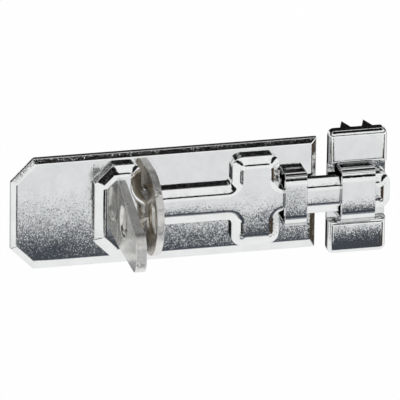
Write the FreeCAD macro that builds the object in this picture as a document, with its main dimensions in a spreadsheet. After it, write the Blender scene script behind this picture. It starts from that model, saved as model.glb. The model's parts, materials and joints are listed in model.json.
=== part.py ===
"""Padbolt of pressed bright steel: base plate, sliding bolt with its eye, and a separate keep.

Frame: +X runs along the bolt towards the keep, +Z is up, and the front faces -Y. The plates lie on the
mounting plane Y = 0, and the origin is the middle of the base plate's back, on the bolt's axis. Heights above
the mounting plane are measured towards -Y. The bolt is drawn shut. All sizes are in millimetres.
"""

import FreeCAD, Part
import Sketcher
import math
import os

doc = FreeCAD.newDocument("padbolt")

# Driving sizes: name, value, meaning

SIZES = [
    ("plate_length", 120.0, "base plate along the bolt"),
    ("plate_width", 45.5, "base plate across the bolt"),
    ("plate_thickness", 2.5, "base plate, back to face"),
    ("plate_corner", 9.0, "leg of the cut at the left corners"),
    ("plate_rim_width", 2.2, "bevelled rim, across"),
    ("plate_sill_width", 3.7, "wider rim along the bottom, across"),
    ("plate_rim_depth", 0.95, "bevelled rim, down from the face"),
    ("screw_hole", 4.5, "screw hole diameter"),
    ("screw_head", 8.6, "countersink diameter at the face"),
    ("screw_edge", 9.75, "screw holes' middles, in from the plate's long edges"),
    ("slide_clearance", 0.2, "bolt to plate, and bolt to straps in height"),
    ("side_clearance", 0.6, "bolt to fixed eye at each side"),
    ("strap_clearance", 1.8, "bolt to straps at each side"),
    ("bolt_height", 4.4, "bolt, edge to face"),
    ("bolt_sheet", 1.6, "sheet of the bolt"),
    ("bolt_bevel_width", 3.7, "bevel round the bolt's face, across"),
    ("bolt_bevel_height", 1.9, "bevel round the bolt's face, down"),
    ("bolt_corner_radius", 4.2, "outer corners of the bolt"),
    ("neck_width", 14.4, "neck and tip of the bolt"),
    ("neck_length", 35.7, "pad to cross"),
    ("pad_length", 18.3, "pad along the bolt"),
    ("pad_width", 38.0, "pad across the bolt"),
    ("pad_corner", 7.0, "leg of the cut at the pad's left corners"),
    ("pad_root_radius", 3.0, "inner corners between pad and neck"),
    ("cross_length", 18.8, "cross along the bolt"),
    ("cross_width", 36.6, "cross over both arms"),
    ("cross_root_radius", 1.6, "inner corners between cross and neck"),
    ("tip_length", 43.8, "cross to the tip's end"),
    ("shut_gap", 1.4, "cross to guide strap, shut"),
    ("strap_inset", 5.1, "plate end to guide strap"),
    ("strap_width", 8.7, "guide strap along the bolt"),
    ("strap_sheet", 2.0, "sheet of both straps"),
    ("strap_bend", 0.4, "inner bend radius of both straps"),
    ("strap_tenon", 5.0, "guide strap's tenons along the bolt"),
    ("eye_hole", 11.0, "padlock hole in both eyes"),
    ("eye_hole_height", 17.0, "padlock hole above the mounting plane"),
    ("eye_hole_chamfer", 1.1, "edge break of both holes"),
    ("fixed_eye_gap", 1.8, "pad to fixed eye, shut"),
    ("fixed_eye_thickness", 3.0, "fixed eye along the bolt"),
    ("fixed_eye_radius", 17.0, "round top of the fixed eye"),
    ("fixed_eye_height", 7.8, "fixed eye's top above the padlock hole's middle"),
    ("fixed_eye_tenon", 6.0, "fixed eye's tenons across the plate"),
    ("bolt_eye_setback", 6.5, "pad's right side to the bolt eye"),
    ("bolt_eye_root", 3.0, "bolt eye's thickness on the pad"),
    ("bolt_eye_end", 4.2, "bolt eye's thickness at its outer end"),
    ("bolt_eye_root_width", 26.8, "bolt eye's width on the pad"),
    ("bolt_eye_end_width", 15.0, "bolt eye's width at its outer end"),
    ("bolt_eye_end_drop", 4.8, "middle of the bolt eye's outer end below the bolt's axis"),
    ("bolt_eye_height", 41.0, "bolt eye above the mounting plane"),
    ("bolt_eye_corner", 5.5, "rounded outer corners of the bolt eye"),
    ("bolt_eye_tenon", 5.0, "bolt eye's tenons across the pad"),
    ("bolt_eye_tenon_spread", 14.0, "middles of the bolt eye's tenons, apart"),
    ("keep_gap", 4.5, "base plate to keep"),
    ("keep_length", 23.0, "keep along the bolt"),
    ("keep_width", 50.8, "keep across the bolt"),
    ("keep_height", 5.0, "keep's panels above the mounting plane"),
    ("keep_sheet", 1.5, "sheet of the keep"),
    ("keep_rim_radius", 2.2, "rounded rim of the keep's panels"),
    ("keep_corner_radius", 2.4, "far corners of the keep's panels"),
    ("keep_panel_gap", 0.5, "keep strap to panel"),
    ("keep_strap_inset", 5.6, "keep's right side to its strap"),
    ("keep_strap_width", 13.3, "keep strap along the bolt"),
    ("keep_strap_tenon", 8.0, "keep strap's tenons along the bolt"),
    ("tooth_length", 6.5, "teeth behind the mounting plane"),
    ("tooth_width", 4.4, "teeth at their root"),
    ("tooth_spread", 8.6, "teeth, apart along the bolt"),
    ("keep_screw_hole", 3.2, "keep's screw hole diameter"),
    ("keep_screw_head", 5.0, "keep's countersink diameter"),
    ("keep_screw_spread", 8.0, "keep's screw holes, apart"),
]

sheet = doc.addObject("Spreadsheet::Sheet", "sizes")
for row, (alias, value, meaning) in enumerate(SIZES, start=1):
    sheet.set(f"A{row}", alias)
    sheet.set(f"B{row}", str(value))
    sheet.set(f"C{row}", meaning)
    sheet.setAlias(f"B{row}", alias)
doc.recompute()

# Places along the bolt, from the plate's right end back to the pad

PLATE_RIGHT = "(sizes.plate_length / 2)"
PLATE_TOP = "(sizes.plate_width / 2)"
STRAP_LEFT = f"({PLATE_RIGHT} - sizes.strap_inset - sizes.strap_width)"
CROSS_RIGHT = f"({STRAP_LEFT} - sizes.shut_gap)"
CROSS_LEFT = f"({CROSS_RIGHT} - sizes.cross_length)"
PAD_RIGHT = f"({CROSS_LEFT} - sizes.neck_length)"
PAD_LEFT = f"({PAD_RIGHT} - sizes.pad_length)"
TIP_END = f"({CROSS_RIGHT} + sizes.tip_length)"
FIXED_EYE_LEFT = f"({PAD_RIGHT} + sizes.fixed_eye_gap)"
BOLT_EYE_MIDDLE = f"({PAD_RIGHT} - sizes.bolt_eye_setback - sizes.bolt_eye_root / 2)"
PAD_MIDDLE = f"({PAD_RIGHT} - sizes.pad_length / 2)"
CROSS_MIDDLE = f"({CROSS_RIGHT} - sizes.cross_length / 2)"
KEEP_LEFT = f"({PLATE_RIGHT} + sizes.keep_gap)"
KEEP_RIGHT = f"({KEEP_LEFT} + sizes.keep_length)"
KEEP_MIDDLE = f"({KEEP_LEFT} + sizes.keep_length / 2)"
KEEP_STRAP_RIGHT = f"({KEEP_RIGHT} - sizes.keep_strap_inset)"
KEEP_STRAP_LEFT = f"({KEEP_STRAP_RIGHT} - sizes.keep_strap_width)"
KEEP_SCREW_PLACE = f"(({KEEP_STRAP_RIGHT} + {KEEP_RIGHT}) / 2)"

# Heights above the mounting plane

PLATE_FACE = "sizes.plate_thickness"
BOLT_EDGE = f"({PLATE_FACE} + sizes.slide_clearance)"
BOLT_FACE = f"({BOLT_EDGE} + sizes.bolt_height)"
PASSAGE_TOP = f"({BOLT_FACE} + sizes.slide_clearance)"
STRAP_FACE = f"({PASSAGE_TOP} + sizes.strap_sheet)"
FIXED_EYE_TOP = "(sizes.eye_hole_height + sizes.fixed_eye_height)"

# Places across the bolt, from its axis

NECK_SIDE = "(sizes.neck_width / 2)"
PASSAGE_SIDE = f"({NECK_SIDE} + sizes.side_clearance)"
STRAP_PASSAGE = f"({NECK_SIDE} + sizes.strap_clearance)"
STRAP_SIDE = f"({STRAP_PASSAGE} + sizes.strap_sheet)"
PANEL_SIDE = f"({STRAP_SIDE} + sizes.keep_panel_gap)"
KEEP_TOP = "(sizes.keep_width / 2)"
FIXED_EYE_SIDE = "sizes.fixed_eye_radius"
SCREW_ACROSS = "(sizes.plate_width / 2 - sizes.screw_edge)"

# The hollow behind the bolt's face follows its wall, bevel and face at the sheet's thickness
BEVEL_SLOPE = "atan(sizes.bolt_bevel_height / sizes.bolt_bevel_width)"
HOLLOW_HEIGHT = "(sizes.bolt_height - sizes.bolt_sheet)"
HOLLOW_WALL = (
    "(sizes.bolt_height - sizes.bolt_bevel_height"
    f" - sizes.bolt_sheet * tan(45 deg - {BEVEL_SLOPE} / 2))"
)
HOLLOW_BEVEL_HEIGHT = f"({HOLLOW_HEIGHT} - {HOLLOW_WALL})"
HOLLOW_BEVEL_WIDTH = (
    "(sizes.bolt_bevel_width - sizes.bolt_sheet"
    f" + sizes.bolt_sheet * tan({BEVEL_SLOPE} / 2))"
)

NEAR = 0.001
START_RADIUS = 20.0


def less(expression):
    """The expression with its sign turned."""
    return f"-({expression})"


def add_body(label):
    """A new body with its own label."""
    body = doc.addObject("PartDesign::Body", label)
    body.Label = label
    return body


def add_sketch(body, name, plane, height="0"):
    """A sketch on one of the body's origin planes, raised along the plane's normal."""
    sketch = body.newObject("Sketcher::SketchObject", name)
    support = [feature for feature in body.Origin.OriginFeatures if feature.Role == plane]
    sketch.AttachmentSupport = [(support[0], "")]
    sketch.MapMode = "FlatFace"
    sketch.setExpression("AttachmentOffset.Base.z", height)
    return sketch


def bind(sketch, kind, geometry, point, value, expression):
    """Ties one coordinate of a point to an expression of the sizes."""
    index = sketch.addConstraint(Sketcher.Constraint(kind, -1, 1, geometry, point, value))
    sketch.setExpression(f"Constraints[{index}]", expression)


def draw_polygon(sketch, corners, half_round=None):
    """A closed outline through corners given as pairs of expressions; one upright side may be a half circle."""
    count = len(corners)
    first = sketch.GeometryCount
    angles = [2 * math.pi * index / count for index in range(count)]
    starts = [FreeCAD.Vector(START_RADIUS * math.cos(angle), START_RADIUS * math.sin(angle)) for angle in angles]
    for index in range(count):
        start, end = starts[index], starts[(index + 1) % count]
        if index == half_round:
            middle = (start + end) / 2
            circle = Part.Circle(middle, FreeCAD.Vector(0, 0, 1), (start - middle).Length)
            turn = math.atan2(start.y - middle.y, start.x - middle.x)
            arc = sketch.addGeometry(Part.ArcOfCircle(circle, turn, turn + math.pi))
            bind(sketch, "DistanceX", arc, 3, middle.x, corners[index][0])
        else:
            sketch.addGeometry(Part.LineSegment(start, end))
    for index, (across, up) in enumerate(corners):
        line = first + index
        following = first + (index + 1) % count
        sketch.addConstraint(Sketcher.Constraint("Coincident", line, 2, following, 1))
        bind(sketch, "DistanceX", line, 1, starts[index].x, across)
        bind(sketch, "DistanceY", line, 1, starts[index].y, up)


def draw_rectangle(sketch, left, right, bottom, top):
    """A rectangle between two pairs of expressions."""
    draw_polygon(sketch, [(left, bottom), (right, bottom), (right, top), (left, top)])


def draw_circle(sketch, across, up, diameter):
    """A circle by its centre and diameter."""
    centre = FreeCAD.Vector(START_RADIUS, START_RADIUS)
    circle = sketch.addGeometry(Part.Circle(centre, FreeCAD.Vector(0, 0, 1), START_RADIUS))
    bind(sketch, "DistanceX", circle, 3, centre.x, across)
    bind(sketch, "DistanceY", circle, 3, centre.y, up)
    index = sketch.addConstraint(Sketcher.Constraint("Diameter", circle, 2 * START_RADIUS))
    sketch.setExpression(f"Constraints[{index}]", diameter)


def add_pad(body, name, sketch, length, backwards=False):
    """Raises a sketch by a length, along its normal or against it."""
    pad = body.newObject("PartDesign::Pad", name)
    pad.Profile = sketch
    pad.Reversed = backwards
    pad.setExpression("Length", length)
    doc.recompute()
    return pad


def add_pocket(body, name, sketch):
    """Cuts a sketch right through the body, to both sides of its plane."""
    pocket = body.newObject("PartDesign::Pocket", name)
    pocket.Profile = sketch
    pocket.SideType = "Symmetric"
    pocket.Type = "ThroughAll"
    doc.recompute()
    return pocket


def add_fillet(body, name, base, edges, radius):
    """Rounds the named edges of a feature."""
    fillet = body.newObject("PartDesign::Fillet", name)
    fillet.Base = (base, edges)
    fillet.setExpression("Radius", radius)
    doc.recompute()
    return fillet


def add_chamfer(body, name, base, parts, depth, width=None):
    """Bevels edges, or all edges of a face: down by the depth, and in by the width where it differs."""
    chamfer = body.newObject("PartDesign::Chamfer", name)
    chamfer.Base = (base, parts)
    chamfer.setExpression("Size", depth)
    if width:
        chamfer.ChamferType = "Two distances"
        chamfer.setExpression("Size2", width)
    doc.recompute()
    return chamfer


def edge_names(feature, chosen):
    """Names of the feature's edges that a test picks by their two ends."""
    ends = [(edge.Vertexes[0].Point, edge.Vertexes[-1].Point) for edge in feature.Shape.Edges]
    return [f"Edge{index}" for index, (start, end) in enumerate(ends, start=1) if chosen(start, end)]


def front_face(feature):
    """Name of the feature's foremost flat face."""
    front = feature.Shape.BoundBox.YMin
    faces = enumerate(feature.Shape.Faces, start=1)
    return [f"Face{index}" for index, face in faces if face.BoundBox.YMax - front < NEAR]


def corner_edges(feature, sketch, indices):
    """Edges across the plates that stand on the given corners of a front-view outline."""
    corners = [sketch.Geometry[index].StartPoint for index in indices]

    def stands(start, end):
        upright = math.hypot(start.x - end.x, start.z - end.z) < NEAR
        return upright and any(math.hypot(start.x - at.x, start.z - at.y) < NEAR for at in corners)

    return edge_names(feature, stands)


def bend_edges(feature, height):
    """Edges along the bolt at a height above the mounting plane."""

    def runs(start, end):
        along = math.hypot(start.y - end.y, start.z - end.z) < NEAR
        return along and abs(start.y + height) < NEAR

    return edge_names(feature, runs)


def hole_edges(feature, diameter, face_height):
    """Front rims of the round holes of a diameter in a face at a height."""
    edges = enumerate(feature.Shape.Edges, start=1)
    rims = [(index, edge.Curve) for index, edge in edges if isinstance(edge.Curve, Part.Circle)]
    sized = [(index, rim) for index, rim in rims if abs(2 * rim.Radius - diameter) < NEAR]
    return [f"Edge{index}" for index, rim in sized if abs(rim.Center.y + face_height) < NEAR]


# Where the feet of straps and eyes pass through what carries them: left, right, inner and outer side


def feet(left, length, inner, outer):
    """The two feet at either side of the bolt, as rectangles in the front view."""
    right = f"({left} + {length})"
    return [(left, right, inner, outer), (left, right, less(outer), less(inner))]


STRAP_TENON_LEFT = "((sizes.strap_width - sizes.strap_tenon) / 2)"
KEEP_TENON_LEFT = "((sizes.keep_strap_width - sizes.keep_strap_tenon) / 2)"
FIXED_TENON_INNER = f"(({PASSAGE_SIDE} + {FIXED_EYE_SIDE} - sizes.fixed_eye_tenon) / 2)"
FIXED_TENON_OUTER = f"({FIXED_TENON_INNER} + sizes.fixed_eye_tenon)"
BOLT_TENON_INNER = "((sizes.bolt_eye_tenon_spread - sizes.bolt_eye_tenon) / 2)"
BOLT_TENON_OUTER = f"({BOLT_TENON_INNER} + sizes.bolt_eye_tenon)"


def add_tenons(body, height, length, rectangles):
    """Tenons from a seat at a height back through the carrier's thickness."""
    sketch = add_sketch(body, f"{body.Label}_tenon_outline", "XZ_Plane", height)
    for rectangle in rectangles:
        draw_rectangle(sketch, *rectangle)
    return add_pad(body, f"{body.Label}_tenons", sketch, length, backwards=True)


# Base plate: bevelled rim, four countersunk holes under the shut bolt, slots for the feet


def make_base_plate():
    body = add_body("base_plate")
    outline = add_sketch(body, "plate_outline", "XZ_Plane")
    draw_polygon(outline, [
        (less(PLATE_RIGHT), f"{PLATE_TOP} - sizes.plate_corner"),
        (f"sizes.plate_corner - {PLATE_RIGHT}", PLATE_TOP),
        (PLATE_RIGHT, PLATE_TOP),
        (PLATE_RIGHT, less(PLATE_TOP)),
        (f"sizes.plate_corner - {PLATE_RIGHT}", less(PLATE_TOP)),
        (less(PLATE_RIGHT), f"sizes.plate_corner - {PLATE_TOP}"),
    ])
    blank = add_pad(body, "plate_blank", outline, PLATE_FACE)
    add_chamfer(body, "plate_rim", blank, front_face(blank), "sizes.plate_rim_depth", "sizes.plate_rim_width")

    sill = add_sketch(body, "plate_sill_outline", "YZ_Plane")
    draw_polygon(sill, [
        (less(PLATE_FACE), f"sizes.plate_sill_width - {PLATE_TOP}"),
        (f"sizes.plate_rim_depth - {PLATE_FACE}", less(PLATE_TOP)),
        (less(PLATE_FACE), less(PLATE_TOP)),
    ])
    add_pocket(body, "plate_sill", sill)

    slots = add_sketch(body, "plate_slot_outline", "XZ_Plane")
    strap_left = f"({STRAP_LEFT} + {STRAP_TENON_LEFT})"
    strap_feet = feet(strap_left, "sizes.strap_tenon", STRAP_PASSAGE, STRAP_SIDE)
    eye_feet = feet(FIXED_EYE_LEFT, "sizes.fixed_eye_thickness", FIXED_TENON_INNER, FIXED_TENON_OUTER)
    for rectangle in strap_feet + eye_feet:
        draw_rectangle(slots, *rectangle)
    add_pocket(body, "plate_slots", slots)

    holes = add_sketch(body, "plate_hole_outline", "XZ_Plane")
    for along in (PAD_MIDDLE, CROSS_MIDDLE):
        for across in (SCREW_ACROSS, less(SCREW_ACROSS)):
            draw_circle(holes, along, across, "sizes.screw_hole")
    drilled = add_pocket(body, "plate_holes", holes)
    rims = hole_edges(drilled, sheet.screw_hole, sheet.plate_thickness)
    add_chamfer(body, "plate_countersinks", drilled, rims, "(sizes.screw_head - sizes.screw_hole) / 2")
    return body


# Bolt: one hollow pressing with pad, neck, cross and tip


def bolt_outline(inset):
    """Corners of the bolt in the front view, moved in by an inset, each with its kind."""
    bevel_step = f"({inset} * tan(22.5 deg))"
    pad_side = f"(sizes.pad_width / 2 - {inset})"
    neck_side = f"({NECK_SIDE} - {inset})"
    cross_side = f"(sizes.cross_width / 2 - {inset})"
    upper = [
        (f"{PAD_LEFT} + {inset}", f"{pad_side} + {inset} - sizes.pad_corner - {bevel_step}", "cut"),
        (f"{PAD_LEFT} + sizes.pad_corner + {bevel_step}", pad_side, "cut"),
        (f"{PAD_RIGHT} - {inset}", pad_side, "outer"),
        (f"{PAD_RIGHT} - {inset}", neck_side, "pad_root"),
        (f"{CROSS_LEFT} + {inset}", neck_side, "cross_root"),
        (f"{CROSS_LEFT} + {inset}", cross_side, "outer"),
        (f"{CROSS_RIGHT} - {inset}", cross_side, "outer"),
        (f"{CROSS_RIGHT} - {inset}", neck_side, "cross_root"),
        (f"{TIP_END} - {inset}", neck_side, "outer"),
    ]
    return upper + [(across, less(up), kind) for across, up, kind in reversed(upper)]


def bolt_corner_edges(feature, outline, wanted):
    """Upright edges on the bolt's corners of one kind."""
    kinds = [corner[-1] for corner in bolt_outline("0")]
    return corner_edges(feature, outline, [index for index, kind in enumerate(kinds) if kind == wanted])


def add_bolt_form(body, inset, height, bevel_height, bevel_width):
    """The bolt's form with rounded corners and a bevel, for its outside and for the hollow behind it."""
    outline = add_sketch(body, f"{body.Label}_outline", "XZ_Plane", BOLT_EDGE)
    draw_polygon(outline, [corner[:-1] for corner in bolt_outline(inset)])
    form = add_pad(body, f"{body.Label}_blank", outline, height)
    for kind, radius in (
        ("pad_root", f"sizes.pad_root_radius + {inset}"),
        ("cross_root", f"sizes.cross_root_radius + {inset}"),
        ("outer", f"sizes.bolt_corner_radius - {inset}"),
    ):
        form = add_fillet(body, f"{body.Label}_{kind}s", form, bolt_corner_edges(form, outline, kind), radius)
    add_chamfer(body, f"{body.Label}_bevel", form, front_face(form), bevel_height, bevel_width)


def make_bolt():
    outside = add_body("bolt_outside")
    add_bolt_form(outside, "0", "sizes.bolt_height", "sizes.bolt_bevel_height", "sizes.bolt_bevel_width")

    hollow = add_body("bolt_hollow")
    add_bolt_form(hollow, "sizes.bolt_sheet", HOLLOW_HEIGHT, HOLLOW_BEVEL_HEIGHT, HOLLOW_BEVEL_WIDTH)
    slots = add_sketch(hollow, "bolt_slot_outline", "XZ_Plane", BOLT_EDGE)
    slot_left = f"({BOLT_EYE_MIDDLE} - sizes.bolt_eye_root / 2)"
    for rectangle in feet(slot_left, "sizes.bolt_eye_root", BOLT_TENON_INNER, BOLT_TENON_OUTER):
        draw_rectangle(slots, *rectangle)
    add_pad(hollow, "bolt_slots", slots, "sizes.bolt_height")

    bolt = doc.addObject("Part::Cut", "bolt")
    bolt.Label = "bolt"
    bolt.Base = outside
    bolt.Tool = hollow
    return bolt


# Bolt eye: lug on the pad with a slanting upper side, thicker at its rounded outer end, with the padlock hole


def bore_rims(feature):
    """Both rims of the padlock hole in an eye."""
    reach = sheet.eye_hole / 2 + NEAR

    def bounds_hole(start, end):
        offsets = [math.hypot(point.y + sheet.eye_hole_height, point.z) for point in (start, end)]
        return max(offsets) < reach and abs(start.x - end.x) < NEAR

    return edge_names(feature, bounds_hole)


def make_bolt_eye():
    body = add_body("bolt_eye")
    half_root, half_end = "(sizes.bolt_eye_root / 2)", "(sizes.bolt_eye_end / 2)"
    root_side = "(sizes.bolt_eye_root_width / 2)"
    end_top = "(sizes.bolt_eye_end_width / 2 - sizes.bolt_eye_end_drop)"
    end_bottom = "(-sizes.bolt_eye_end_width / 2 - sizes.bolt_eye_end_drop)"
    root_level, end_level = less(BOLT_FACE), less("sizes.bolt_eye_height")
    section = add_sketch(body, "bolt_eye_section", "XY_Plane")
    draw_polygon(section, [
        (half_root, root_level),
        (less(half_root), root_level),
        (less(half_end), end_level),
        (half_end, end_level),
    ])
    slab = body.newObject("PartDesign::Pad", "bolt_eye_slab")
    slab.Profile = section
    slab.SideType = "Symmetric"
    slab.setExpression("Length", f"4 * {root_side}")

    outline = add_sketch(body, "bolt_eye_outline", "YZ_Plane")
    waste_side = f"(3 * {root_side})"
    draw_rectangle(outline, f"2 * {end_level}", "0", less(waste_side), waste_side)
    draw_polygon(outline, [
        (root_level, root_side),
        (end_level, end_top),
        (end_level, end_bottom),
        (root_level, less(root_side)),
    ])
    blade = add_pocket(body, "bolt_eye_blade", outline)
    outer = -sheet.bolt_eye_height

    def is_outer_corner(start, end):
        return max(abs(start.y - outer), abs(end.y - outer), abs(start.z - end.z)) < NEAR

    add_fillet(body, "bolt_eye_corners", blade, edge_names(blade, is_outer_corner), "sizes.bolt_eye_corner")
    hole = add_sketch(body, "bolt_eye_hole_outline", "YZ_Plane")
    draw_circle(hole, "-sizes.eye_hole_height", "0", "sizes.eye_hole")
    bored = add_pocket(body, "bolt_eye_hole", hole)
    add_chamfer(body, "bolt_eye_rims", bored, bore_rims(bored), "sizes.eye_hole_chamfer")
    add_tenons(body, BOLT_FACE, "sizes.bolt_sheet",
               feet(less(half_root), "sizes.bolt_eye_root", BOLT_TENON_INNER, BOLT_TENON_OUTER))
    body.setExpression("Placement.Base.x", BOLT_EYE_MIDDLE)
    return body


# Fixed eye: round-topped lug astride the neck, with the padlock hole in line with the bolt eye's


def make_fixed_eye():
    body = add_body("fixed_eye")
    shoulder = f"({FIXED_EYE_TOP} - {FIXED_EYE_SIDE})"
    outline = add_sketch(body, "fixed_eye_outline", "YZ_Plane")
    draw_polygon(outline, [
        (less(PLATE_FACE), FIXED_EYE_SIDE),
        (less(shoulder), FIXED_EYE_SIDE),
        (less(shoulder), less(FIXED_EYE_SIDE)),
        (less(PLATE_FACE), less(FIXED_EYE_SIDE)),
        (less(PLATE_FACE), less(PASSAGE_SIDE)),
        (less(PASSAGE_TOP), less(PASSAGE_SIDE)),
        (less(PASSAGE_TOP), PASSAGE_SIDE),
        (less(PLATE_FACE), PASSAGE_SIDE),
    ], half_round=1)
    draw_circle(outline, "-sizes.eye_hole_height", "0", "sizes.eye_hole")
    blade = add_pad(body, "fixed_eye_blade", outline, "sizes.fixed_eye_thickness")
    add_chamfer(body, "fixed_eye_rims", blade, bore_rims(blade), "sizes.eye_hole_chamfer")
    add_tenons(body, PLATE_FACE, PLATE_FACE,
               feet("0", "sizes.fixed_eye_thickness", FIXED_TENON_INNER, FIXED_TENON_OUTER))
    body.setExpression("Placement.Base.x", FIXED_EYE_LEFT)
    return body


# Straps: bridges of bent sheet over the bolt, one on the base plate and one on the keep


def make_strap(label, left, width, seat, tenon_left, tenon_length):
    body = add_body(label)
    outline = add_sketch(body, f"{label}_outline", "YZ_Plane")
    draw_polygon(outline, [
        (less(seat), STRAP_SIDE),
        (less(STRAP_FACE), STRAP_SIDE),
        (less(STRAP_FACE), less(STRAP_SIDE)),
        (less(seat), less(STRAP_SIDE)),
        (less(seat), less(STRAP_PASSAGE)),
        (less(PASSAGE_TOP), less(STRAP_PASSAGE)),
        (less(PASSAGE_TOP), STRAP_PASSAGE),
        (less(seat), STRAP_PASSAGE),
    ])
    blank = add_pad(body, f"{label}_blank", outline, width)
    face = -blank.Shape.BoundBox.YMin
    bends = add_fillet(body, f"{label}_outer_bends", blank, bend_edges(blank, face),
                       "sizes.strap_bend + sizes.strap_sheet")
    add_fillet(body, f"{label}_inner_bends", bends, bend_edges(bends, face - sheet.strap_sheet),
               "sizes.strap_bend")
    add_tenons(body, seat, seat, feet(tenon_left, tenon_length, STRAP_PASSAGE, STRAP_SIDE))
    body.setExpression("Placement.Base.x", left)
    return body


# Keep: two hollow pressed panels joined by a flat web under the bolt's tip, with teeth behind


def make_keep_plate():
    body = add_body("keep_plate")
    body.AllowCompound = True
    panels = add_sketch(body, "keep_panel_outline", "XZ_Plane")
    draw_rectangle(panels, KEEP_LEFT, KEEP_RIGHT, PANEL_SIDE, KEEP_TOP)
    draw_rectangle(panels, KEEP_LEFT, KEEP_RIGHT, less(KEEP_TOP), less(PANEL_SIDE))
    blank = add_pad(body, "keep_panel_blank", panels, "sizes.keep_height")
    far_side = sheet.keep_width / 2 - NEAR
    far_corners = [index for index, side in enumerate(panels.Geometry) if abs(side.StartPoint.y) > far_side]
    round_corners = add_fillet(body, "keep_panel_corners", blank, corner_edges(blank, panels, far_corners),
                               "sizes.keep_corner_radius")
    add_fillet(body, "keep_panel_rims", round_corners, front_face(round_corners), "sizes.keep_rim_radius")

    hollow = add_sketch(body, "keep_hollow_outline", "XZ_Plane")
    hollow_left = f"({KEEP_LEFT} + sizes.keep_sheet)"
    hollow_right = f"({KEEP_RIGHT} - sizes.keep_sheet)"
    hollow_inner = f"({PANEL_SIDE} + sizes.keep_sheet)"
    hollow_outer = f"({KEEP_TOP} - sizes.keep_sheet)"
    draw_rectangle(hollow, hollow_left, hollow_right, hollow_inner, hollow_outer)
    draw_rectangle(hollow, hollow_left, hollow_right, less(hollow_outer), less(hollow_inner))
    pressed = body.newObject("PartDesign::Pocket", "keep_hollow")
    pressed.Profile = hollow
    pressed.Reversed = True
    pressed.setExpression("Length", "sizes.keep_height - sizes.keep_sheet")
    doc.recompute()

    web = add_sketch(body, "keep_web_outline", "XZ_Plane")
    web_side = f"({PANEL_SIDE} + sizes.keep_sheet / 2)"
    draw_rectangle(web, KEEP_LEFT, KEEP_RIGHT, less(web_side), web_side)
    add_pad(body, "keep_web", web, "sizes.keep_sheet")

    for name, level in (("upper", hollow_outer), ("lower", less(KEEP_TOP))):
        teeth = add_sketch(body, f"keep_{name}_tooth_outline", "XY_Plane", level)
        for side in ("+", "-"):
            middle = f"({KEEP_MIDDLE} {side} sizes.tooth_spread / 2)"
            draw_polygon(teeth, [
                (f"{middle} - sizes.tooth_width / 2", "0"),
                (f"{middle} + sizes.tooth_width / 2", "0"),
                (middle, "sizes.tooth_length"),
            ])
        add_pad(body, f"keep_{name}_teeth", teeth, "sizes.keep_sheet")

    slots = add_sketch(body, "keep_slot_outline", "XZ_Plane")
    slot_left = f"({KEEP_STRAP_LEFT} + {KEEP_TENON_LEFT})"
    for rectangle in feet(slot_left, "sizes.keep_strap_tenon", STRAP_PASSAGE, STRAP_SIDE):
        draw_rectangle(slots, *rectangle)
    add_pocket(body, "keep_slots", slots)

    holes = add_sketch(body, "keep_hole_outline", "XZ_Plane")
    for across in ("sizes.keep_screw_spread / 2", "-sizes.keep_screw_spread / 2"):
        draw_circle(holes, KEEP_SCREW_PLACE, across, "sizes.keep_screw_hole")
    drilled = add_pocket(body, "keep_holes", holes)
    rims = hole_edges(drilled, sheet.keep_screw_hole, sheet.keep_sheet)
    add_chamfer(body, "keep_countersinks", drilled, rims, "(sizes.keep_screw_head - sizes.keep_screw_hole) / 2")
    return body


parts = [
    make_base_plate(),
    make_bolt(),
    make_bolt_eye(),
    make_fixed_eye(),
    make_strap("guide_strap", STRAP_LEFT, "sizes.strap_width", PLATE_FACE, STRAP_TENON_LEFT,
               "sizes.strap_tenon"),
    make_keep_plate(),
    make_strap("keep_strap", KEEP_STRAP_LEFT, "sizes.keep_strap_width", "sizes.keep_sheet", KEEP_TENON_LEFT,
               "sizes.keep_strap_tenon"),
]
doc.recompute()

# Nothing is written unless every object is sound

failed = [item.Name for item in doc.Objects if {"Invalid", "Error"} & set(item.State)]
if failed:
    raise RuntimeError(f"failed objects: {failed}")
for part in parts:
    if part.Shape.isNull() or not part.Shape.isValid() or len(part.Shape.Solids) != 1:
        raise RuntimeError(f"unsound shape: {part.Label}")

os.makedirs("parts", exist_ok=True)
for part in parts:
    part.Shape.exportStep(f"parts/{part.Label}.step")
    box = part.Shape.BoundBox
    print(f"{part.Label}: {part.Shape.Volume:.0f} mm3, {box.XLength:.1f} x {box.YLength:.1f} x {box.ZLength:.1f} mm")
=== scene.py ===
import json
from math import cos, radians, sin, tan

import bmesh
import bpy
from mathutils import Matrix, Quaternion, Vector

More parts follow.
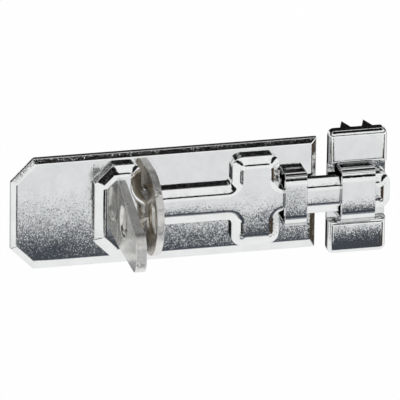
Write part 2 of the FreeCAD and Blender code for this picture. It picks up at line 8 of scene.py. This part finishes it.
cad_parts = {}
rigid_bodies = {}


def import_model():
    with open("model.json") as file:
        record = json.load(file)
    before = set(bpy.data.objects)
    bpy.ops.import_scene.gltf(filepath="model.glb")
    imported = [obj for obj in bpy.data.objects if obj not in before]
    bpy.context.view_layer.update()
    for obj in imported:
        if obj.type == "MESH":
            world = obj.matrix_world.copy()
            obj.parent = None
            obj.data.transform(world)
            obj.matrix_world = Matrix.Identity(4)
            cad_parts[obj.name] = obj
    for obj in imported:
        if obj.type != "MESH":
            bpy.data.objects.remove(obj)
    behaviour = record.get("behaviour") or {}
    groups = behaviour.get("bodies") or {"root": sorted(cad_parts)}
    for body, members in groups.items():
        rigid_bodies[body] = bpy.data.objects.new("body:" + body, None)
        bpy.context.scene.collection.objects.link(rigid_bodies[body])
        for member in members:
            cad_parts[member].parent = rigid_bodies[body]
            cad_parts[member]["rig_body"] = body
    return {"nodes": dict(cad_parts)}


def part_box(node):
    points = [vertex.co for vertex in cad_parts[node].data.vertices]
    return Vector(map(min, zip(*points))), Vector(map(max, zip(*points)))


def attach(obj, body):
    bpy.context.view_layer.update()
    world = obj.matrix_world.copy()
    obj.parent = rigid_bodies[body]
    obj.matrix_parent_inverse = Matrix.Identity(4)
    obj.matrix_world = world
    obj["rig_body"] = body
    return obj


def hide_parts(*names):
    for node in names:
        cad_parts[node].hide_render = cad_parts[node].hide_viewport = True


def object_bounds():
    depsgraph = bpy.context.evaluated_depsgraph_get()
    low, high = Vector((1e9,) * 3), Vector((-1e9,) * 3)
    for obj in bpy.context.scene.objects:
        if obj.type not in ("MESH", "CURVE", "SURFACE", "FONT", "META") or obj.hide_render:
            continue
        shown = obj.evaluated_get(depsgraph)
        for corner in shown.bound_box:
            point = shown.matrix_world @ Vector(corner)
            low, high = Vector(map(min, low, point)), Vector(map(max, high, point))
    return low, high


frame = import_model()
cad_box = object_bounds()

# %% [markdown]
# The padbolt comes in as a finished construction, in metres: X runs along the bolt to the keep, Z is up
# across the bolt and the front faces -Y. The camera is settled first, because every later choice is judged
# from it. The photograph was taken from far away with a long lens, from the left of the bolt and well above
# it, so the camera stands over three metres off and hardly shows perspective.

MM = 0.001
IMAGE_PIXELS = 400
SENSOR_MM = 36.0
FOCAL_PIXELS = 8903
CAMERA_DISTANCE = 3.412
CAMERA_AZIMUTH = radians(13.67)
CAMERA_ELEVATION = radians(22.39)
CAMERA_ROLL = radians(0.8)
AIM = Vector((14.1, -2.5, 0.8)) * MM

to_camera = Vector((
    -sin(CAMERA_AZIMUTH) * cos(CAMERA_ELEVATION),
    -cos(CAMERA_AZIMUTH) * cos(CAMERA_ELEVATION),
    sin(CAMERA_ELEVATION),
))
scene = bpy.context.scene
lens = bpy.data.cameras.new("camera")
lens.sensor_width = SENSOR_MM
lens.lens = FOCAL_PIXELS * SENSOR_MM / IMAGE_PIXELS
lens.clip_start = 0.1
lens.clip_end = 20.0
camera = bpy.data.objects.new("camera", lens)
scene.collection.objects.link(camera)
camera.location = AIM + CAMERA_DISTANCE * to_camera
camera.rotation_mode = "QUATERNION"
camera.rotation_quaternion = (-to_camera).to_track_quat("-Z", "Y") @ Quaternion((0, 0, 1), CAMERA_ROLL)
scene.camera = camera
print("camera at", [round(value, 3) for value in camera.location], "lens", round(lens.lens), "mm")

# %% [markdown]
# Every finish below is a small tree of shader nodes. One function turns the usual hex colours to the linear
# values that shaders work with, and one adds a node with its settings and links.

# %% Helpers for materials


def linear(hex_colour):
    """The linear RGBA of an sRGB hex colour."""
    levels = [int(hex_colour[i:i + 2], 16) / 255 for i in (1, 3, 5)]
    return [v / 12.92 if v <= 0.04045 else ((v + 0.055) / 1.055) ** 2.4 for v in levels] + [1.0]


def add_node(tree, kind, settings=(), inputs=()):
    """A new node: settings are its own properties, inputs are values or sockets to link."""
    node = tree.nodes.new(kind)
    for name, value in dict(settings).items():
        setattr(node, name, value)
    for name, value in dict(inputs).items():
        if isinstance(value, bpy.types.NodeSocket):
            tree.links.new(value, node.inputs[name])
        else:
            node.inputs[name].default_value = value
    return node


def new_material(name):
    """An empty node material and its tree."""
    material = bpy.data.materials.new(name)
    material.use_nodes = True
    material.node_tree.nodes.clear()
    return material, material.node_tree


# %% [markdown]
# Bright zinc on pressed steel is close to a mirror, but not quite flat: the press leaves the sheet slightly
# crowned and wavy, and the plating is a skin of fine crystals. The crown decides how soon a face slides from
# light to dark, and the crystals break up that slide into a fine speckle. Real crystals are a tenth of a
# millimetre across, too fine to show at this distance, so they are drawn as coarse as they need to be seen.
# Most of them lean very little and a few lean a lot, which gives the sparks in the dark parts.

# %% Bright zinc plate
CRYSTAL_MM = 0.3
CRYSTAL_EVEN = 0.5
CRYSTAL_STEEP = 6.0
WAVE_MM = 14.0
WAVE_DEPTH_MM = 0.06
CLOUD_MM = 5.0
CLOUD_RANGE = (0.3, 0.7)
DULLNESS_RANGE = (0.8, 1.3)


def crowned(tree, place, normal, middle_mm, half_mm, tilt, paired):
    """Bends a normal like a crown that leans by tilt at half_mm above its middle."""
    up = add_node(tree, "ShaderNodeSeparateXYZ", {}, {0: place}).outputs["Z"]
    if paired:
        up = add_node(tree, "ShaderNodeMath", {"operation": "ABSOLUTE"}, {0: up}).outputs[0]
    offset = add_node(tree, "ShaderNodeMath", {"operation": "SUBTRACT"}, {0: up, 1: middle_mm * MM})
    square = add_node(tree, "ShaderNodeMath", {"operation": "MULTIPLY"}, {
        0: offset.outputs[0], 1: offset.outputs[0]})
    sag = add_node(tree, "ShaderNodeMath", {"operation": "MULTIPLY"}, {
        0: square.outputs[0], 1: -tilt / (2 * half_mm * MM)})
    bump = add_node(tree, "ShaderNodeBump", {}, {
        "Height": sag.outputs[0], "Distance": 1.0, "Strength": 1.0, "Normal": normal})
    return bump.outputs["Normal"]


def speckled(tree, place, normal, crystal_lean):
    """Leans a normal by a random amount in each crystal."""
    crystals = add_node(tree, "ShaderNodeTexVoronoi", {}, {"Vector": place, "Scale": 1 / (CRYSTAL_MM * MM)})
    lean = add_node(tree, "ShaderNodeVectorMath", {"operation": "SUBTRACT"}, {
        0: crystals.outputs["Color"], 1: (0.5, 0.5, 0.5)})
    square = add_node(tree, "ShaderNodeVectorMath", {"operation": "MULTIPLY"}, {
        0: lean.outputs["Vector"], 1: lean.outputs["Vector"]})
    steep = add_node(tree, "ShaderNodeVectorMath", {"operation": "MULTIPLY_ADD"}, {
        0: square.outputs["Vector"], 1: [CRYSTAL_STEEP] * 3, 2: [CRYSTAL_EVEN] * 3})
    lean = add_node(tree, "ShaderNodeVectorMath", {"operation": "MULTIPLY"}, {
        0: lean.outputs["Vector"], 1: steep.outputs["Vector"]})
    leaning = add_node(tree, "ShaderNodeVectorMath", {"operation": "MULTIPLY_ADD"}, {
        0: lean.outputs["Vector"], 1: [2 * crystal_lean] * 3, 2: normal})
    unit = add_node(tree, "ShaderNodeVectorMath", {"operation": "NORMALIZE"}, {0: leaning.outputs["Vector"]})
    return unit.outputs["Vector"]


def bright_zinc(name, tones, roughness, crystal_lean, crown=None):
    """Zinc plate: a clouded bright metal with crystal speckle over the waves of the pressed sheet."""
    material, tree = new_material(name)
    place = add_node(tree, "ShaderNodeTexCoord").outputs["Object"]
    waves = add_node(tree, "ShaderNodeTexNoise", {}, {
        "Vector": place, "Scale": 1 / (WAVE_MM * MM), "Detail": 1.0})
    clouds = add_node(tree, "ShaderNodeTexNoise", {}, {
        "Vector": place, "Scale": 1 / (CLOUD_MM * MM), "Detail": 4.0})
    normal = add_node(tree, "ShaderNodeBump", {}, {
        "Height": waves.outputs["Fac"], "Distance": WAVE_DEPTH_MM * MM, "Strength": 1.0}).outputs["Normal"]
    if crown:
        normal = crowned(tree, place, normal, *crown)
    light, dark = tones
    tone = add_node(tree, "ShaderNodeMix", {"data_type": "RGBA"}, {
        "Factor": clouds.outputs["Fac"], "A": linear(light), "B": linear(dark)})
    dull = add_node(tree, "ShaderNodeMapRange", {}, {
        "Value": clouds.outputs["Fac"], "From Min": CLOUD_RANGE[0], "From Max": CLOUD_RANGE[1],
        "To Min": roughness * DULLNESS_RANGE[0], "To Max": roughness * DULLNESS_RANGE[1]})
    metal = add_node(tree, "ShaderNodeBsdfPrincipled", {}, {
        "Base Color": tone.outputs["Result"], "Metallic": 1.0, "Roughness": dull.outputs[0],
        "Normal": speckled(tree, place, normal, crystal_lean)})
    add_node(tree, "ShaderNodeOutputMaterial", {}, {"Surface": metal.outputs["BSDF"]})
    return material


# %% [markdown]
# All the pressed pieces have the same neutral zinc, and differ in how far their faces lean, so that each
# turns dark at its own height. The padlock eyes are stamped from thick plate and are less bright. The fixed
# one is painted darker and browner still, as a painted reflection of the dark things that the real one
# mirrors. The crowns were set against the photograph.

# %% Finishes
SHEET_TONES = ("#F0F1F1", "#DFE0E0")
BOLT_EYE_TONES = ("#E6E5E1", "#D0CEC9")
# The fixed eye's tones are painted darker and browner than its zinc: a painted reflection of dark
# surroundings.
FIXED_EYE_PAINTED_REFLECTION_TONES = ("#B9B1A5", "#918979")
SHEARED_TONES = ("#F2F1EF", "#DEDDDA")

# Each finish has its tones, its roughness and the lean of its crystals. A crown, where there is one, is its
# middle and half height in mm, the lean at the half height, and whether it is there twice, above and below.
FINISHES = {
    # A clean mirror that slides from white to blue-grey down the plate.
    "base_plate": bright_zinc("bright_zinc_pressed_sheet", SHEET_TONES, 0.07, 0.011),
    # The same with a slight lean all over, so that the pad and the cross stand out from the plate.
    "bolt": bright_zinc(
        "bright_zinc_pressed_bolt", SHEET_TONES, 0.07, 0.009, (60.0, 18.0, radians(0.165), False)),
    # A slightly hollow face with the finest speckle, which turns dark slowly.
    "guide_strap": bright_zinc(
        "bright_zinc_guide_strap", SHEET_TONES, 0.07, 0.007, (-20.8, 9.0, radians(-0.56), False)),
    # A full round face, light above its middle and dark below.
    "keep_strap": bright_zinc(
        "bright_zinc_keep_strap", SHEET_TONES, 0.07, 0.012, (-0.3, 9.0, radians(2.4), False)),
    # Two rounded panels, each with its own light and dark.
    "keep_plate": bright_zinc(
        "bright_zinc_pressed_keep", SHEET_TONES, 0.08, 0.015, (16.8, 5.0, radians(1.5), True)),
    # A satin sheen with blurred reflections.
    "bolt_eye": bright_zinc("bright_zinc_stamped_eye", BOLT_EYE_TONES, 0.2, 0.04),
    # A dull satin whose darker, warm tone is a painted reflection.
    "fixed_eye": bright_zinc("dull_zinc_fixed_eye_painted_dark_reflection", FIXED_EYE_PAINTED_REFLECTION_TONES, 0.25, 0.05),
}
# The shear leaves the eyes' edges pale and grainy.
sheared_zinc = bright_zinc("dull_zinc_sheared_edge", SHEARED_TONES, 0.32, 0.14)
print(len(FINISHES) + 1, "finishes of zinc plate")

# %% [markdown]
# The real pieces have no sharp edges: a press leaves a round at every bend and the plating softens each cut.
# A bevel does this, but it is never wider than the shortest edges that it is given allow. So each run of
# edges is rounded by itself: then a small hole doesn't hold back the long bends. Their order changes the
# result a little, so it is settled, the shortest run first. Tight corners would hold back a bend too, and the
# small arcs that need it are made wider first.

# %% Rounding tools
SHORT_EDGE = 0.3 * MM
BEVEL_SEGMENTS = 4
ORDER_STEP = 0.01 * MM


def length_and_place(run):
    """What runs are ordered by: the length, then the place, in steps that rounding errors don't reach."""
    corners = [corner.co for edge in run for corner in edge.verts]
    length = sum(edge.calc_length() for edge in run)
    start = [min(co[axis] for co in corners) for axis in range(3)]
    return [round(value / ORDER_STEP) for value in (length, *start)]


def runs_of(edges):
    """The edges in groups that hang together, the shortest group first."""
    waiting = dict.fromkeys(edges)
    runs = []
    while waiting:
        first = next(iter(waiting))
        del waiting[first]
        run = [first]
        for edge in run:
            for near in (near for corner in edge.verts for near in corner.link_edges):
                if near in waiting:
                    del waiting[near]
                    run.append(near)
        runs.append(run)
    return sorted(runs, key=length_and_place)


def above_foot(edge, foot_y):
    """Whether an edge reaches forward of the foot."""
    return min(corner.co.y for corner in edge.verts) < foot_y


def round_edges(form, lowest, highest, width, foot_y):
    """Rounds the edges whose faces meet at an angle between two limits, but not those on the foot."""
    runs = runs_of(edge for edge in form.edges if edge.is_manifold
                   and lowest < edge.calc_face_angle() < highest and above_foot(edge, foot_y))
    for run in runs:
        bmesh.ops.bevel(form, geom=run, offset=width, offset_type="OFFSET", segments=BEVEL_SEGMENTS,
                        profile=0.5, affect="EDGES", clamp_overlap=True, material=-1)
    return len(runs)


def widen_rounds(form, box_low, box_high, growth):
    """Makes the small rounds inside a box larger, each about the corner that it rounds off."""
    inside = {corner for corner in form.verts
              if all(low <= value <= high for low, value, high in zip(box_low, corner.co, box_high))}
    runs = runs_of(edge for edge in form.edges
                   if edge.calc_length() < SHORT_EDGE and inside.issuperset(edge.verts))
    for run in runs:
        arc = list(dict.fromkeys(corner for edge in run for corner in edge.verts))
        tip = Vector()
        for axis in range(3):
            values = [corner.co[axis] for corner in arc]
            leans_up = sum(values) / len(values) > (min(values) + max(values)) / 2
            tip[axis] = max(values) if leans_up else min(values)
        for corner in arc:
            corner.co = tip + (corner.co - tip) * growth
    return len(runs)


# %% [markdown]
# Each piece is a merged copy of its solid with its edges rounded by two bevels, one along the shallow bends
# of the pressing, which is wide on the bolt, and a narrow one along the cut edges. The small arcs round the
# bolt's face and at the straps' shoulders are the ones made wider. Only the bolt's foot stays sharp: it
# stands almost on the plate, and a round there would put a light line in the dark gap.

# %% Pieces with softened edges
MERGE_DISTANCE = 0.002 * MM
FLAT_ANGLE = radians(0.8)
SHALLOW_ANGLE = radians(13.8)
STEEP_ANGLE = radians(42)
SHEARED_LIMIT = 0.6
FOOT_DEPTH = 0.05 * MM
SHARP_FEET = ("bolt",)
LARGE_FACE_WEIGHT = 100

# For each piece, the rounding of its bends and of its cut edges, in mm.
ROUNDINGS = {
    "base_plate": (0.4, 0.3), "bolt": (1.6, 0.2), "guide_strap": (0.3, 0.3), "keep_plate": (0.2, 0.2),
    "keep_strap": (0.3, 0.3), "bolt_eye": (0.35, 0.35), "fixed_eye": (0.35, 0.35),
}
# How far back from the front small rounds are made wider, in mm, and by how much.
WIDER_ROUNDS = {"bolt": (0.01, 3.6), "guide_strap": (0.45, 3.0), "keep_strap": (0.45, 3.0)}


def softened(name, bend_mm, cut_mm):
    """A piece that stands for a CAD node, with its bends and cut edges rounded."""
    node = frame["nodes"][name]
    low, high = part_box(name)
    form = bmesh.new()
    form.from_mesh(node.data)
    bmesh.ops.remove_doubles(form, verts=form.verts, dist=MERGE_DISTANCE)
    bmesh.ops.dissolve_limit(form, angle_limit=FLAT_ANGLE, verts=form.verts, edges=form.edges)
    if name in WIDER_ROUNDS:
        depth_mm, growth = WIDER_ROUNDS[name]
        rounds = widen_rounds(form, low, (high.x, low.y + depth_mm * MM, high.z), growth)
        print(name, "has", rounds, "rounds made wider")
    foot_y = high.y + (-FOOT_DEPTH if name in SHARP_FEET else FOOT_DEPTH)
    bends = round_edges(form, SHALLOW_ANGLE, STEEP_ANGLE, bend_mm * MM, foot_y)
    cuts = round_edges(form, STEEP_ANGLE, radians(180), cut_mm * MM, foot_y)
    bmesh.ops.triangulate(form, faces=[face for face in form.faces if len(face.verts) > 4])
    for face in form.faces:
        face.smooth = True
    for edge in form.edges:
        edge.smooth = above_foot(edge, foot_y)
    mesh = bpy.data.meshes.new(name + "_softened")
    form.to_mesh(mesh)
    form.free()
    piece = bpy.data.objects.new(name + "_softened", mesh)
    scene.collection.objects.link(piece)
    mesh.materials.append(FINISHES[name])
    if name.endswith("_eye"):
        mesh.materials.append(sheared_zinc)
        for face in mesh.polygons:
            face.material_index = int(abs(face.normal.x) < SHEARED_LIMIT)
    even = piece.modifiers.new("even_shading", "WEIGHTED_NORMAL")
    even.mode = "FACE_AREA"
    even.weight = LARGE_FACE_WEIGHT
    even.keep_sharp = True
    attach(piece, node["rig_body"])
    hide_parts(name)
    print(name, "has", bends, "runs of bends,", cuts, "of cut edges and", len(mesh.polygons), "faces")


for node_name, (bend_mm, cut_mm) in ROUNDINGS.items():
    softened(node_name, bend_mm, cut_mm)

# %% [markdown]
# A mirror shows the room, so bright metal is lit by what stands round it. The room here is white, with a
# floor of white paper under the padbolt. The paper looks white to the camera and in the metal, and still
# takes the padbolt's shadow. The standard view leaves these tones as they are.

# %% Room and floor
FLOOR_DROP = 0.1
FLOOR_SIZE = 8.0
PAPER_GLOW = 0.9
WHITE = "#FFFFFF"
PAPER = "#F6F6F6"

world = bpy.data.worlds.new("white_room")
world.use_nodes = True
scene.world = world
background = world.node_tree.nodes["Background"]
background.inputs["Color"].default_value = linear(WHITE)
background.inputs["Strength"].default_value = 1.0
scene.view_settings.view_transform = "Standard"


def add_staged(name, form, material):
    """A board of the studio, made from a bmesh, which isn't part of the padbolt."""
    mesh = bpy.data.meshes.new(name)
    form.to_mesh(mesh)
    form.free()
    board = bpy.data.objects.new(name, mesh)
    scene.collection.objects.link(board)
    board.data.materials.append(material)
    return board


floor_paper, tree = new_material("white_paper_floor")
ray = add_node(tree, "ShaderNodeLightPath")
seen = add_node(tree, "ShaderNodeMath", {"operation": "MAXIMUM"}, {
    0: ray.outputs["Is Camera Ray"], 1: ray.outputs["Is Glossy Ray"]})
seen = add_node(tree, "ShaderNodeMath", {"operation": "MAXIMUM"}, {
    0: seen.outputs[0], 1: ray.outputs["Is Transmission Ray"]})
paper = add_node(tree, "ShaderNodeBsdfDiffuse", {}, {"Color": linear(PAPER)})
glow = add_node(tree, "ShaderNodeEmission", {}, {"Color": linear(WHITE), "Strength": seen.outputs[0]})
both = add_node(tree, "ShaderNodeMixShader", {}, {0: PAPER_GLOW, 1: paper.outputs[0], 2: glow.outputs[0]})
add_node(tree, "ShaderNodeOutputMaterial", {}, {"Surface": both.outputs[0]})

floor_z = cad_box[0].z - FLOOR_DROP
form = bmesh.new()
bmesh.ops.create_grid(form, x_segments=1, y_segments=1, size=FLOOR_SIZE / 2)
bmesh.ops.translate(form, vec=(0, 0, floor_z), verts=form.verts)
add_staged("floor", form, floor_paper)
print("floor at", round(floor_z / MM), "mm")

# %% [markdown]
# A dark skirt round the room and a dark ceiling leave a ring of white between them. The slopes that face up
# and forward catch that ring, while walls that face straight up see the skirt and stay nearly black. Behind
# the padbolt the dark reaches higher.

# %% Dark skirt, ceiling and back
RING_RADIUS = 2.0
RING_SEGMENTS = 64
SKIRT_LOW = radians(11.5)
SKIRT_HIGH = radians(27)
CEILING_EDGE = radians(58)
BACK_HIGH = radians(48)


def flat_card(name, hex_colour):
    """A card that shows one colour, whatever light falls on it."""
    material, tree = new_material(name)
    shown = add_node(tree, "ShaderNodeEmission", {}, {"Color": linear(hex_colour), "Strength": 1.0})
    add_node(tree, "ShaderNodeOutputMaterial", {}, {"Surface": shown.outputs[0]})
    return material


def ring(low, high):
    """A wall round the room between two angles above the floor's level."""
    form = bmesh.new()
    bottom, top = (RING_RADIUS * tan(angle) for angle in (low, high))
    bmesh.ops.create_cone(form, segments=RING_SEGMENTS, cap_ends=False, radius1=RING_RADIUS,
                          radius2=RING_RADIUS, depth=top - bottom)
    bmesh.ops.translate(form, vec=(0, 0, (bottom + top) / 2), verts=form.verts)
    return form


dark_card = flat_card("dark_card", "#1B1A1A")
skirt = add_staged("dark_skirt", ring(SKIRT_LOW, SKIRT_HIGH), dark_card)

form = bmesh.new()
ceiling_height = RING_RADIUS * tan(SKIRT_HIGH)
bmesh.ops.create_circle(form, segments=RING_SEGMENTS, cap_ends=True,
                        radius=ceiling_height / tan(CEILING_EDGE))
bmesh.ops.translate(form, vec=(0, 0, ceiling_height), verts=form.verts)
ceiling = add_staged("dark_ceiling", form, dark_card)

form = ring(SKIRT_HIGH, BACK_HIGH)
bmesh.ops.bisect_plane(form, geom=form.verts[:] + form.edges[:] + form.faces[:], plane_co=(0, 0, 0),
                       plane_no=(0, 1, 0), clear_inner=True)
back = add_staged("dark_back", form, dark_card)
print("white ring from", round(SKIRT_HIGH, 2), "to", round(CEILING_EDGE, 2), "radians above the floor")

# %% [markdown]
# Seen from above, the upright faces mirror the floor in front, so the rest of the picture lies there. A
# graded card goes from light far away to dark near the padbolt, which darkens the lower part of each face.
# Its slide is long at the left and short at the right, as in the photograph. Nearest to the padbolt it turns
# grey, so that the faces aren't black when they are seen from higher up.

# %% Graded card
CARD_LIFT = 2 * MM
CARD_LIGHT_LEFT = -0.312
CARD_LIGHT_RIGHT = -0.27
CARD_LIGHT_SLOPE = 0.46
CARD_DARK_FROM = -0.256
CARD_GREY_FROM = -0.16
CARD_GREY_TO = -0.11
CARD_LIGHT = "#EFF0F1"
CARD_DARK = "#454951"
CARD_GREY = "#9A9DA2"

graded_card, tree = new_material("graded_card")
place = add_node(tree, "ShaderNodeTexCoord").outputs["Object"]
along = add_node(tree, "ShaderNodeSeparateXYZ", {}, {0: place})
fan = add_node(tree, "ShaderNodeMath", {"operation": "MULTIPLY_ADD"}, {
    0: along.outputs["X"], 1: CARD_LIGHT_SLOPE, 2: CARD_LIGHT_LEFT})
light_to = add_node(tree, "ShaderNodeMath", {"operation": "MINIMUM"}, {
    0: fan.outputs[0], 1: CARD_LIGHT_RIGHT})
shade = add_node(tree, "ShaderNodeMapRange", {"interpolation_type": "SMOOTHSTEP"}, {
    "Value": along.outputs["Y"], "From Min": light_to.outputs[0], "From Max": CARD_DARK_FROM})
grade = add_node(tree, "ShaderNodeMix", {"data_type": "RGBA"}, {
    "Factor": shade.outputs[0], "A": linear(CARD_LIGHT), "B": linear(CARD_DARK)})
near = add_node(tree, "ShaderNodeMapRange", {"interpolation_type": "SMOOTHSTEP"}, {
    "Value": along.outputs["Y"], "From Min": CARD_GREY_FROM, "From Max": CARD_GREY_TO})
paled = add_node(tree, "ShaderNodeMix", {"data_type": "RGBA"}, {
    "Factor": near.outputs[0], "A": grade.outputs["Result"], "B": linear(CARD_GREY)})
shown = add_node(tree, "ShaderNodeEmission", {}, {"Color": paled.outputs["Result"], "Strength": 1.0})
add_node(tree, "ShaderNodeOutputMaterial", {}, {"Surface": shown.outputs[0]})
slides = [round((CARD_DARK_FROM - light_end) / MM) for light_end in (CARD_LIGHT_LEFT, CARD_LIGHT_RIGHT)]
print("graded card darkens over", slides[0], "mm at the left and", slides[1], "mm at the right")


def lay_card(name, material, middle, width, length, turn=0.0, lift=CARD_LIFT):
    """A card on the floor, turned about the vertical."""
    form = bmesh.new()
    bmesh.ops.create_grid(form, x_segments=1, y_segments=1, size=0.5)
    bmesh.ops.scale(form, vec=(width, length, 1), verts=form.verts)
    bmesh.ops.rotate(form, matrix=Matrix.Rotation(turn, 3, "Z"), verts=form.verts)
    bmesh.ops.translate(form, vec=(*middle, floor_z + lift), verts=form.verts)
    return add_staged(name, form, material)


# %% [markdown]
# The other cards are each seen in one kind of face. The left card darkens the pad's left wall, and the wall
# card those of the cross and the guide strap. The right card gives the slopes that face right a brown tint.
# The back card shows in the keep's left wall, past the plate's end, and the side card in the plate's right
# rim. A grey card behind tones the backs, which would be lost against the white room. All these boards are
# there for the metal only: the camera doesn't see them and they throw no shadow.

# %% Cards on the floor
brown_card = flat_card("brown_card", "#4A4036")
grey_card = flat_card("grey_card", "#B4B6BA")
cards = [
    lay_card("front_card", graded_card, (0.0925, -0.55), 0.215, 0.9),
    lay_card("left_card", dark_card, (-0.1265, -0.335), 0.083, 0.17),
    lay_card("wall_card", dark_card, (-0.0415, -0.31), 0.053, 0.2),
    lay_card("right_card", brown_card, (0.32, -0.2085), 0.35, 0.15, turn=radians(-25.7)),
    lay_card("back_card", dark_card, (-0.015, 0.31), 0.09, 0.22),
    lay_card("side_card", brown_card, (-0.235, -0.145), 0.2, 0.07),
    lay_card("card_behind", grey_card, (0.0, 0.86), 2.4, 1.48, lift=CARD_LIFT / 2),
]
for board in (skirt, ceiling, back, *cards):
    board.visible_camera = False
    board.visible_shadow = False
    board.visible_diffuse = False
print(len(cards), "cards on the floor")
